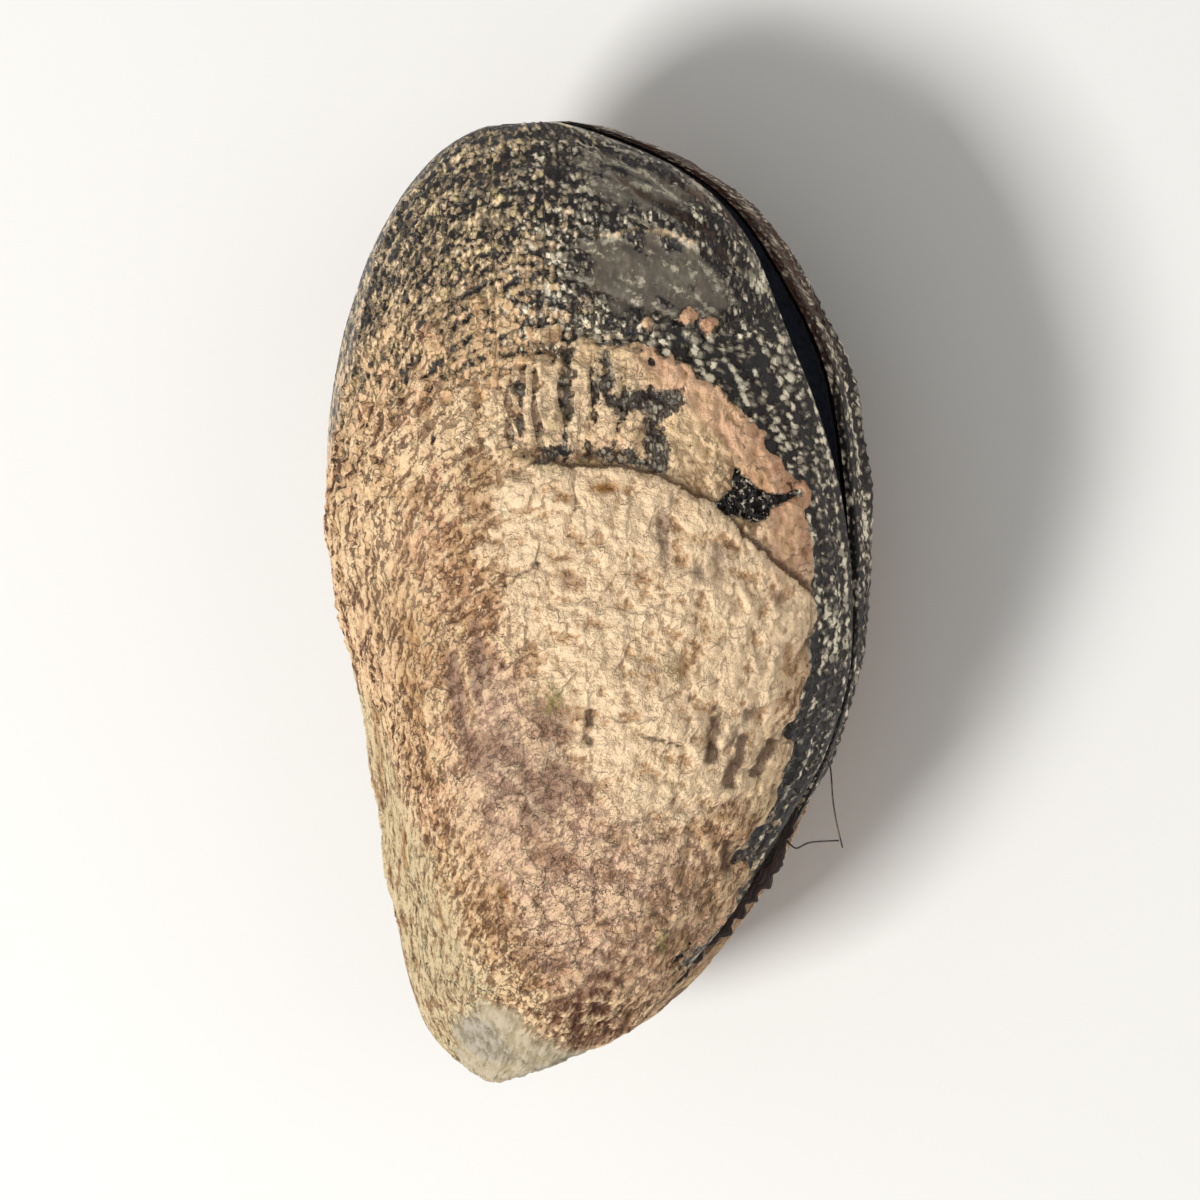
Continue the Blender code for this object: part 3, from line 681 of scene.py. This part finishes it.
def valve(name, is_right, rows, columns, materials):
    """One valve as a dense mesh, with its marks as attributes."""
    sizes = bpy.context.scene.mussel_sizes
    y = even_rows(rows)
    half = (SLOT_HIND - SLOT_FRONT) / 2
    edge_height = SLOT_RISE * np.clip(1.3 * (1 - ((y - SLOT_FRONT - half) / half) ** 4), 0, 1)
    if is_right:
        worn = np.where(y > WORN_MIDDLE, WORN_TO_HIND, WORN_TO_FRONT)
        edge_height = edge_height + WORN_HEIGHT * np.exp(-((y - WORN_MIDDLE) / worn) ** 2)
    height = HEIGHT * rise_along(y, EDGE_FRONT, EDGE_HIND)
    edge_height = np.minimum(edge_height, 0.6 * height)
    plain = evenly(arc(y, FINE_COLUMNS, height, 0, edge_height), columns)
    round_edge, scale = growth_place(plain)
    seed = 0.0 if is_right else LEFT_SEED
    line_spacing = sizes.line_spacing / MM
    grown = grown_place(plain, round_edge, scale, sizes.ribs, line_spacing)
    depth = depth_inside(plain, CRUST if is_right else LEFT_CRUST)
    jag = 0.4 * noise_at(plain, 1.3, 3.0 + seed, 3) + 0.12 * noise_at(plain, 0.4, 5.0 + seed)
    on_margin = (depth < 0.2) & (plain[..., 0] > 8) & (plain[..., 1] + 3 * jag < MARGIN_END)
    grown = np.where(on_margin[..., None], margin_place(plain, MARGIN_SPACING * line_spacing), grown)
    marks = valve_marks(plain, grown, scale, jag, depth, is_right, seed)
    relief = valve_relief(plain, grown, scale, marks, is_right, seed)
    fade = np.clip((plain[..., 2] - edge_height) / EDGE_FADE, 0, 1)
    fade[0] = fade[-1] = 0
    outer = plain + surface_normals(plain) * (relief * (EDGE_SHARE + (1 - EDGE_SHARE) * fade))[..., None]
    outer[..., 2] = np.maximum(outer[..., 2], 0)

    # The inside, drawn in from the outer sections, and the rim between them.
    hollow = (HEIGHT - sizes.wall / MM) * rise_along(y, HOLLOW_FRONT, HOLLOW_HIND)
    inset = np.minimum(RIM, (plain[:, -1:, 0] - plain[:, :1, 0]) / 4)
    inner = arc(y, INNER_COLUMNS, np.maximum(hollow, 1.5 * edge_height + 0.3), inset, edge_height)
    inner[..., 2] = np.where(hollow > edge_height, inner[..., 2],
                             edge_height * np.linspace(0, 1, INNER_COLUMNS))
    share = np.array((0.25, 0.6))[None, :, None]
    dip = np.array((0.0, 0.0, 0.06))
    hinge_rim = outer[:, -1:] * (1 - share) + inner[:, -1:] * share + dip * (0.5 - share)
    belly_rim = inner[:, :1] * share + outer[:, :1] * (1 - share)
    sections = np.concatenate([outer, hinge_rim, inner[:, ::-1], belly_rim[:, ::-1]], axis=1)
    sections[..., 2] += HALF_GAP
    sections = open_about_hinge(sections)
    if not is_right:
        sections[..., 2] *= -1
    around = sections.shape[1]
    index = np.arange(rows * around).reshape(rows, around)
    ahead = np.roll(index, -1, axis=1)
    quads = np.stack([index[:-1], ahead[:-1], ahead[1:], index[1:]], axis=-1).reshape(-1, 4)
    is_outside = np.tile(np.arange(around) < columns + 1, rows - 1)
    caps = [index[0][::-1].tolist(), index[-1].tolist()]
    if not is_right:
        quads = quads[:, ::-1]
        caps = [cap[::-1] for cap in caps]
    slots = np.concatenate([np.where(is_outside, 0, 1), [0, 0]])

    def with_inside(values, beyond=0.0):
        """The outside's values carried on over the rim, and 0 on the inside."""
        filled = np.zeros((rows, around))
        filled[:, :columns] = values
        for step in (0, 1):
            filled[:, columns + step] = values[:, -1] + beyond * (step + 1)
        return filled.ravel()

    attributes = {label: with_inside(values) for label, values in marks.items()}
    beyond_rim = (0.0, 0.6, 0.0)
    attributes["growth"] = np.stack([with_inside(grown[..., k], beyond_rim[k]) for k in range(3)], axis=1)
    rim_depth = np.zeros((rows, around))
    rim_depth[:, columns:] = np.maximum(sections[:, columns:, 2] * (1 if is_right else -1), 0)
    attributes["rim_depth"] = rim_depth.ravel()
    faces = quads.tolist() + caps
    points = to_part(sections.reshape(-1, 3))
    if not is_right:
        points[:, 2] = np.maximum(points[:, 2], 0)
    return new_mesh(name, points, faces, attributes, materials, slots.astype(np.int32))


class Socket:
    """A socket in a sum: each operator adds a Math node."""

    def __init__(self, finish, link):
        self.finish = finish
        self.link = link

    def math(self, operation, *values):
        return self.finish.node("ShaderNodeMath", {"operation": operation}, dict(enumerate(values)))

    def __add__(self, other):
        return self.math("ADD", self, other)

    __radd__ = __add__

    def __sub__(self, other):
        return self.math("SUBTRACT", self, other)

    def __rsub__(self, other):
        return self.math("SUBTRACT", other, self)

    def __mul__(self, other):
        return self.math("MULTIPLY", self, other)

    __rmul__ = __mul__


class Finish:
    """A material under construction."""

    def __init__(self, name):
        self.material = bpy.data.materials.new(name)
        self.material.use_nodes = True
        self.tree = self.material.node_tree
        self.shader = self.tree.nodes["Principled BSDF"]

    def node(self, kind, settings=None, sockets=None, output=0):
        """Adds a node, sets its settings and then its sockets, and gives one or more outputs."""
        made = self.tree.nodes.new(kind)
        for key, value in (settings or {}).items():
            setattr(made, key, value)
        for key, value in (sockets or {}).items():
            self.feed(made.inputs[key], value)
        if isinstance(output, tuple):
            return [Socket(self, made.outputs[each]) for each in output]
        return Socket(self, made.outputs[output])

    def feed(self, socket, value):
        """Links a socket, or sets its own value. A name stands for one of the shell's colours."""
        if isinstance(value, str):
            value = getattr(bpy.context.scene.mussel_colours, value)
        if isinstance(value, Socket):
            self.tree.links.new(value.link, socket)
        elif isinstance(socket.default_value, float) or not hasattr(value, "__len__"):
            socket.default_value = value
        else:
            socket.default_value = (*value, 1)[:len(socket.default_value)]

    def vector(self, operation, at, other):
        return self.node("ShaderNodeVectorMath", {"operation": operation}, {0: at, 1: other})

    def place(self):
        """Places on the object in millimetres."""
        return self.vector("MULTIPLY", self.node("ShaderNodeTexCoord", output="Object"), (1 / MM,) * 3)

    def pushed(self, at, x, y):
        """A place moved along its first two axes."""
        return self.vector("ADD", at, self.node("ShaderNodeCombineXYZ", None, {0: x, 1: y}))

    def mark(self, name, output="Fac"):
        return self.node("ShaderNodeAttribute", {"attribute_name": name}, output=output)

    def marks(self, names):
        return [self.mark(name) for name in names.split()]

    def noise(self, at, scale, detail, roughness=0.5, output="Fac"):
        return self.node("ShaderNodeTexNoise", None, {"Vector": at, "Scale": scale, "Detail": detail,
                                                      "Roughness": roughness}, output)

    def cells(self, at, scale, randomness):
        """Cells on a flat pattern: distance from the middle of the nearest, and its own colour."""
        return self.node("ShaderNodeTexVoronoi", {"voronoi_dimensions": "2D"},
                         {"Vector": at, "Scale": scale, "Randomness": randomness}, ("Distance", "Color"))

    def cell_walls(self, at, scale):
        """Distance from the nearest wall between cells of a flat pattern."""
        settings = {"voronoi_dimensions": "2D", "feature": "DISTANCE_TO_EDGE"}
        return self.node("ShaderNodeTexVoronoi", settings, {"Vector": at, "Scale": scale}, "Distance")

    def largest(self, *values):
        best = values[0]
        for value in values[1:]:
            best = best.math("MAXIMUM", best, value)
        return best

    def step(self, value, start, end):
        """Smooth step from 0, at start, to 1, at end."""
        return self.node("ShaderNodeMapRange", {"interpolation_type": "SMOOTHSTEP"},
                         {"Value": value, "From Min": start, "From Max": end})

    def channels(self, value):
        return self.node("ShaderNodeSeparateColor", None, {"Color": value}, ("Red", "Green", "Blue"))

    def mix(self, share, low, high):
        """Between two colours."""
        return self.node("ShaderNodeMix", {"data_type": "RGBA"}, {0: share, 6: low, 7: high}, 2)

    def paint(self, base, *coats):
        """Coats over a base colour, each a share and a colour."""
        for share, coat in coats:
            base = self.mix(share, base, coat)
        return base

    def level(self, share, low, high):
        """Between two numbers."""
        return self.node("ShaderNodeMix", {"data_type": "FLOAT"}, {0: share, 2: low, 3: high}, 0)

    def bump(self, height):
        """A normal from a height in millimetres."""
        return self.node("ShaderNodeBump", None, {"Height": height, "Distance": MM})

    def done(self, colour, roughness, normal=None):
        self.feed(self.shader.inputs["Base Color"], colour)
        self.feed(self.shader.inputs["Roughness"], roughness)
        if normal is not None:
            self.feed(self.shader.inputs["Normal"], normal)
        return self.material


def outside_finish():
    """Crust, bare shell with nodules, film and worn umbo."""
    nodule_height = bpy.context.scene.mussel_sizes.nodule_height / MM
    f = Finish("shell outside")
    at = f.place()
    grown = f.mark("growth", "Vector")
    broad, blotch, patch, flow, lines = f.marks("broad blotch patch flow lines")
    pale, merge, flank, cream, rose = f.marks("pale merge flank cream rose")
    bright, dim, band, chalky, rust, sharp = f.marks("bright dim band chalky rust sharp")
    fine, push_x, push_y = f.channels(f.noise(at, 3.2, 4.0, 0.68, "Color"))
    grit = fine - 0.5
    jostle = f.level(pale, 0.9, 1.6)
    jostled = f.pushed(grown, (push_x - 0.5) * jostle, (push_y - 0.5) * jostle)

    # Regions, with ragged edges.
    ragged = grit * 0.5
    crust = f.step(f.mark("crust") + ragged, -0.04, 0.06)
    ledge = f.mark("ledge") + ragged
    film = f.step(f.mark("film") + grit + (lines - 0.5) * 1.6 + (patch - 0.5) * 1.2, -0.35, 0.35)
    bare_patch = f.step(f.mark("bare_patch") + ragged, -0.04, 0.08)
    window = f.step(f.mark("window") + grit + (patch - 0.5) * 0.5, -0.05, 0.20)
    worn = f.step(f.mark("worn_umbo") + ragged, -0.5, 0.5)

    # Nodules: about one for each crossing of a rib and a growth line, merging towards the crust.
    off_middle, cell = f.cells(jostled, 1.35, 0.95)
    chance, hue, _ = f.channels(cell)
    size = merge * (1 - window) * 0.40 + pale * 0.04 + (chance - 0.5) * 0.35 + (lines - 0.5) * 0.6
    size = size + grit * 0.6 + f.level(pale, 0.50, 0.41) - dim * 0.05
    nodule = f.step(size - off_middle, -0.08, 0.10)
    crest = f.step(size - off_middle, 0.05, 0.40)
    # Painted glints: small bright spots on some nodules' tips.
    glint = f.step(hue * 0.60 + lines * 0.4 + crest * 0.30 + grit * 0.7 - dim * 0.06, 0.74, 0.92)
    grey = f.paint(
        "film",
        (f.step(hue - grit, 0.2, 0.9), "bare_grey"),
        (dim * 0.45, "bare"),
        # Painted highlight: the middle of each nodule painted lighter.
        (crest * 0.35, "bare_light"),
        (glint, "bare_light"))
    shaded = f.step(grit + (chance - 0.5) * 0.4, 0.05, -0.20)
    beige = f.paint(
        "nodule",
        (f.step(hue, 0.45, 0.95), "nodule_yellow"),
        (f.step(patch, 0.48, 0.34) * (1 - merge) * 0.7, "bare_grey"),
        (merge * f.step(chance, 0.1, 0.5), "crust"),
        (shaded * 0.5, "crust_brown"))
    beige_share = f.step(pale + (chance - 0.5) * 0.7 - dim * 0.15, 0.3, 0.7)
    between = f.step(fine + (lines - 0.5) * 0.7, 0.50, 0.66) * f.level(pale, 0.10, 0.6)
    shell_colour = f.paint(
        "bare",
        (between, "bare_grey"),
        (nodule, f.mix(beige_share, grey, beige)))
    shell_height = nodule * (nodule_height * 0.7) + crest * (nodule_height * 0.6)
    shell_height = shell_height + fine * 0.10 + lines * 0.12

    # Crust: plates and streaks, pale on top and brown between: painted highlight on the plates' tops and
    # painted shade between them, over the crust's own pale grains and brown patches.
    tone = patch * f.level(flank, 0.25, 0.10) + flow * f.level(flank, 0.25, 0.45) + fine * 0.9 - 0.2
    tone = tone + (blotch - 0.5) * 0.26 + rose * 0.05 + f.level(flank, 0.02, -0.015) + bright * 0.16
    off_vein = blotch - 0.52
    vein = f.step(off_vein.math("ABSOLUTE", off_vein), 0.030, 0.008) * f.step(patch, 0.42, 0.55)
    tan = f.largest(f.mark("brown") * 0.8, f.step(blotch + grit * 0.4, 0.44, 0.34) * 0.55)
    calmer = 1 - rose * 0.45
    fleck = f.step(hue, 0.84, 0.90) * f.step(off_middle, 0.45, 0.35)
    mauve = f.step(f.mark("mauve") + grit * 1.1 - (blotch - 0.5) * 0.8, 0.35, 0.90)
    # The cream crust painted paler where the tone is high: painted highlight on the tops.
    cream_colour = f.mix(f.step(tone, 0.31, 0.48), "crust", "plateau")
    chalk_colour = f.mix(f.step(flow + grit, 0.22, 0.42), "crust_tan", "chalk")
    band_colour = f.mix(f.step(lines + grit * 0.8, 0.12, 0.45), "crust_tan", "crust_pink")
    # Painted highlight along the ledge's edge, in the cream colour.
    ledge_highlight = f.step(ledge, 0.0, 0.08) * f.step(ledge, 0.45, 0.15) * sharp
    crust_colour = f.paint(
        "crust",
        (f.step(broad, 0.40, 0.62) * 0.6, "crust_pink"),
        (rose, "crust_rose"),
        (tan * (1 - bright * 0.8), "crust_tan"),
        # Tone follows the same noises as the bump: painted shade in the hollows, painted highlight on the
        # tops.
        (f.step(tone, 0.50, 0.34) * calmer * 0.7, "crust_brown"),
        (f.step(tone, 0.50, 0.66) * calmer * 0.8, "crust_pale"),
        (fleck * 0.8, "plateau"),
        (bright * 0.68, "crust_pale"),
        (f.mark("block_tops") * f.step(tone, 0.36, 0.52) * 0.8, "plateau"),
        (cream, cream_colour),
        (mauve * 0.64, "crust_mauve"),
        (vein * f.level(flank, 0.75, 0.2), "plateau"),
        (chalky * 0.9, chalk_colour),
        (f.mark("olive") * f.step(patch, 0.40, 0.60), "olive"),
        (rust * f.step(patch + grit, 0.80, 0.40), "rust"),
        (band * 0.60, band_colour),
        (f.mark("chalk_spots") * 0.9, "plateau"),
        (f.mark("ochre") * f.step(fine, 0.3, 0.5), "ochre"),
        (ledge_highlight * 0.7, "plateau"))

    # Dark gaps in the crust, partly dirt in its cracks and partly painted shade: between scales and
    # plates, in pits, and a painted shadow under the ledge.
    scale_wall = f.cell_walls(f.vector("MULTIPLY", jostled, (0.50, 1.25, 1)), 1.0)
    plate_wall = f.cell_walls(f.pushed(at, push_x * 1.2, push_y * 1.2), 0.8)
    calm = (1 - cream * 0.75) * (1 - band) * (1 - chalky * 0.6) * (1 - bright * 0.6)
    scale_gap = f.step(scale_wall + (flow - 0.45) * 0.5 + grit * 0.5, 0.12, 0.02)
    scale_gap = scale_gap * f.level(flank, 0.65, 1.0) * calm * calmer
    plate_gap = f.step(plate_wall, 0.035, 0.0) * f.step(f.mark("cracked") + (patch - 0.5), 0.15, 0.5)
    plate_gap = plate_gap * f.level(cream, 1.0, 0.3)
    pit = f.step(tone, 0.27, 0.18) * f.level(cream, 0.9, 0.5)
    # Painted shadow under the ledge.
    ledge_shadow = f.step(ledge, -0.35, -0.12) * f.step(ledge, 0.02, -0.06) * sharp
    gaps = f.largest(scale_gap, plate_gap, pit, ledge_shadow * 0.85)
    # Gaps and pits painted dark: dirt and painted shade.
    crust_colour = f.mix(gaps, crust_colour, "crack")
    crust_height = fine * 0.30 + patch * 0.15 + flow * 0.15 + vein * 0.10 - gaps * 0.18
    crust_height = crust_height + f.step(blotch, 0.34, 0.58) * 0.16

    # All of it together: windows and grooves show the shell through the crust.
    groove = f.mark("groove")
    groove = f.step(groove - grit * 1.4 - (patch - 0.5), 0.64, 0.80) * f.step(groove, 0.10, 0.30)
    window = f.largest(window, groove)
    crust = crust * (1 - window) * (1 - bare_patch)
    film = film * (1 - crust)
    dull = f.paint(
        "bare",
        (f.step(patch + grit * 0.5, 0.35, 0.70), "bare_grey"),
        (f.step(fine, 0.6, 0.45) * 0.4, "crack"))
    film_colour = f.paint(
        "film",
        (f.step(patch, 0.35, 0.7), "bare_grey"),
        (f.step(lines + grit * 2, 0.70, 0.95) * 0.4, "bare_light"))
    worn_colour = f.paint(
        "umbo_grey",
        (f.step(flow * 0.5 + patch * 0.5 + grit * 0.8, 0.25, 0.70), "umbo"),
        (f.step(broad, 0.60, 0.40) * 0.3, "chalk"))
    shown = f.paint(
        shell_colour,
        (window * 0.65, dull),
        (crust, crust_colour),
        (film * 0.92, film_colour),
        # The bare patch: black shell with painted glints.
        (bare_patch, f.mix(f.step(fine, 0.56, 0.62), "bare", "bare_light")),
        (rust * (1 - crust) * 0.6, "rust"),
        # Seams and slots painted dark, partly as cracks and partly as painted shadow.
        (f.step(f.mark("seam") + grit * 1.2, 0.35, 1.0) * 0.8, "crack"),
        (f.step(f.mark("vein") + grit * 1.2, 0.35, 1.0) * 0.6, "crust_pale"),
        (worn, worn_colour))
    height = f.level(crust, shell_height, crust_height)
    height = f.level(film, height, fine * 0.06)
    height = f.level(worn, height, fine * 0.12)
    roughness = f.level(crust, f.level(nodule, 0.42, 0.30), 0.85)
    roughness = f.level(film, roughness, 0.38)
    roughness = f.level(bare_patch, roughness, 0.10)
    return f.done(shown, roughness, f.bump(height))


def inside_finish():
    """Dark lip and dull bluish hollow."""
    f = Finish("shell inside")
    at = f.place()
    cloud = f.noise(at, 0.35, 3.0)
    deep = f.step(f.mark("rim_depth") + (cloud - 0.5) * 2.0, 1.2, 4.0)
    shown = f.mix(deep, "lip", "inside")
    shown = f.mix(f.step(f.noise(at, 2.5, 4.0), 0.4, 0.7) * 0.35, shown, "lip")
    return f.done(shown, f.level(deep, 0.25, 0.4), f.bump(f.noise(at, 3.0, 3.0) * 0.05))


def ligament_finish():
    """Dull dark horn, grooved along its length."""
    f = Finish("ligament")
    grooves = f.noise(f.mark("growth", "Vector"), 6.0, 4.0, 0.6)
    shown = f.mix(f.step(grooves, 0.4, 0.7) * 0.4, "ligament", "rust")
    shown = f.mix(f.step(grooves, 0.5, 0.3), shown, "bare")
    return f.done(shown, 0.5, f.bump(grooves * 0.2))


def thread_finish():
    """Horny brown thread."""
    f = Finish("thread")
    shown = f.mix(f.step(f.noise(f.place(), 1.5, 2.0), 0.4, 0.6), "thread", "ligament")
    return f.done(shown, 0.45)


def along_path(path, count):
    """Even places along a path, counted in corners, and the points there."""
    corners = np.array([(*corner, 0)[:3] for corner in path])
    knots = np.arange(len(corners))
    places = np.linspace(0, knots[-1], count)
    return places, np.stack([np.interp(places, knots, corners[:, k]) for k in range(3)], axis=1)


def tube(line, radii, flattening, ring, groove, lump):
    """Rows of points round a line, flattened in height, with grooves along it and lumps."""
    ahead = np.gradient(line, axis=0)
    ahead /= np.linalg.norm(ahead, axis=1, keepdims=True)
    side = np.cross(ahead, (0, 0, 1))
    side /= np.linalg.norm(side, axis=1, keepdims=True)
    up = np.cross(side, ahead)
    turn = np.linspace(0, math.tau, ring, endpoint=False)
    depth = 1 + groove * np.sin(turn * 5 + np.sin(np.arange(len(line)) * 0.35)[:, None])
    flat = radii[:, None] * depth
    rows = (line[:, None] + side[:, None] * (flat * np.cos(turn))[..., None]
            + up[:, None] * (flat * np.sin(turn) * flattening)[..., None])
    return rows + (rows - line[:, None]) * lump * noise_at(rows, LUMP_WIDTH, 91.0)[..., None]


def tube_mesh(name, rows, materials):
    """Closes rows of rings into a mesh."""
    count, ring = rows.shape[:2]
    index = np.arange(count * ring).reshape(count, ring)
    ahead = np.roll(index, -1, axis=1)
    quads = np.stack([index[:-1], index[1:], ahead[1:], ahead[:-1]], axis=-1).reshape(-1, 4)
    faces = quads.tolist() + [index[0].tolist(), index[-1][::-1].tolist()]
    along = np.repeat(np.linspace(0, 1.2, count), ring)
    round_it = np.tile(np.linspace(0, 6, ring), count)
    growth = np.stack([round_it, along, 0 * along], axis=1)
    return new_mesh(name, to_part(rows.reshape(-1, 3)), faces, {"growth": growth}, materials,
                    np.zeros(len(faces), np.int32))


class MUSSEL_OT_valves(bpy.types.Operator):
    """Builds both valves over the solids"""
    bl_idname = "mussel.valves"
    bl_label = "Valves"

    def execute(self, context):
        sizes = context.scene.mussel_sizes
        finishes = [outside_finish(), inside_finish()]
        right = valve("right_valve_skin", True, sizes.rows, sizes.columns, finishes)
        left_rows, left_columns = int(sizes.rows * LEFT_SHARE), int(sizes.columns * LEFT_SHARE)
        left = valve("left_valve_skin", False, left_rows, left_columns, finishes)
        for skin, node, slot in ((right, "right_valve", "crusted shell"),
                                 (left, "left_valve", "dark shell")):
            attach(skin, "root")
            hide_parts(node)
        return {"FINISHED"}


class MUSSEL_OT_ligament(bpy.types.Operator):
    """Builds the grooved ligament and the fine thread beside it"""
    bl_idname = "mussel.ligament"
    bl_label = "Ligament and thread"

    def execute(self, context):
        places, line = along_path(LIGAMENT_LINE, LIGAMENT_ROWS)
        radii = np.interp(places, np.arange(len(LIGAMENT_RADII)), LIGAMENT_RADII)
        radii = radii * (1 + 0.05 * np.sin(places * 23) + 0.04 * np.sin(places * 57))
        rows = tube(line, radii, LIGAMENT_FLATTENING, 40, LIGAMENT_GROOVES, LIGAMENT_LUMPS)
        strip = tube_mesh("ligament_strip", rows, [ligament_finish()])
        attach(strip, "root")
        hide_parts("ligament")
        finish = thread_finish()
        for k, path in enumerate(THREADS):
            _, line = along_path(path, THREAD_ROWS)
            for _ in range(12):
                line[1:-1] = (line[:-2] + 2 * line[1:-1] + line[2:]) / 4
            rows = tube(line, np.full(THREAD_ROWS, THREAD_RADIUS), 1.0, 8, 0.0, 0.0)
            thread = tube_mesh(f"thread_{k + 1}", rows, [finish])
            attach(thread, "root")
        return {"FINISHED"}


class MUSSEL_OT_stage(bpy.types.Operator):
    """Builds the floor, the lights and the camera"""
    bl_idname = "mussel.stage"
    bl_label = "Stage"

    def execute(self, context):
        settings = context.scene.mussel_stage
        f = Finish("floor")
        f.done(settings.floor, 0.9)
        bpy.ops.mesh.primitive_plane_add(size=FLOOR_SIZE)
        floor = context.active_object
        floor.name = "floor"
        floor.data.materials.append(f.material)
        world = bpy.data.worlds.new("surround")
        world.use_nodes = True
        world.node_tree.nodes["Background"].inputs["Color"].default_value = (1, 1, 1, 1)
        world.node_tree.nodes["Background"].inputs["Strength"].default_value = settings.surround
        context.scene.world = world
        target = Vector(to_part(np.array(LOOK_AT)))
        for name, offset, power, size in LAMPS:
            data = bpy.data.lights.new(name, "AREA")
            data.energy = getattr(settings, power)
            data.size = size
            lamp = bpy.data.objects.new(name, data)
            lamp.location = target + Vector(offset)
            lamp.rotation_euler = (target - lamp.location).to_track_quat("-Z", "Y").to_euler()
            context.scene.collection.objects.link(lamp)

        turned = Matrix.Identity(3)
        for axis, angle in CAMERA_TURNS:
            turned = turned @ Matrix.Rotation(math.radians(angle), 3, axis)
        data = bpy.data.cameras.new("camera")
        data.lens = settings.lens
        data.sensor_width = 36
        data.shift_x, data.shift_y = CAMERA_SHIFT
        data.clip_start = 0.01
        camera = bpy.data.objects.new("camera", data)
        away = Vector(turned[2]) * settings.camera_distance
        camera.matrix_world = Matrix.Translation(target + away) @ turned.transposed().to_4x4()
        context.scene.collection.objects.link(camera)
        context.scene.camera = camera
        context.scene.view_settings.view_transform = "Standard"
        return {"FINISHED"}


class MUSSEL_PT_panel(bpy.types.Panel):
    """Buttons of the mussel shell"""
    bl_idname = "MUSSEL_PT_panel"
    bl_label = "Mussel Shell"
    bl_space_type = "VIEW_3D"
    bl_region_type = "UI"
    bl_category = "Mussel Shell"

    def draw(self, context):
        for operator in (MUSSEL_OT_valves, MUSSEL_OT_ligament, MUSSEL_OT_stage):
            self.layout.operator(operator.bl_idname)


CLASSES = (ShellSizes, ShellColours, StageSettings, MUSSEL_OT_valves, MUSSEL_OT_ligament,
           MUSSEL_OT_stage, MUSSEL_PT_panel)


def register():
    for each in CLASSES:
        bpy.utils.register_class(each)
    bpy.types.Scene.mussel_sizes = bpy.props.PointerProperty(type=ShellSizes)
    bpy.types.Scene.mussel_colours = bpy.props.PointerProperty(type=ShellColours)
    bpy.types.Scene.mussel_stage = bpy.props.PointerProperty(type=StageSettings)


def unregister():
    del bpy.types.Scene.mussel_stage
    del bpy.types.Scene.mussel_colours
    del bpy.types.Scene.mussel_sizes
    for each in reversed(CLASSES):
        bpy.utils.unregister_class(each)


def main():
    register()
    bpy.ops.mussel.valves()
    bpy.ops.mussel.ligament()
    bpy.ops.mussel.stage()


if __name__ == "__main__":
    main()
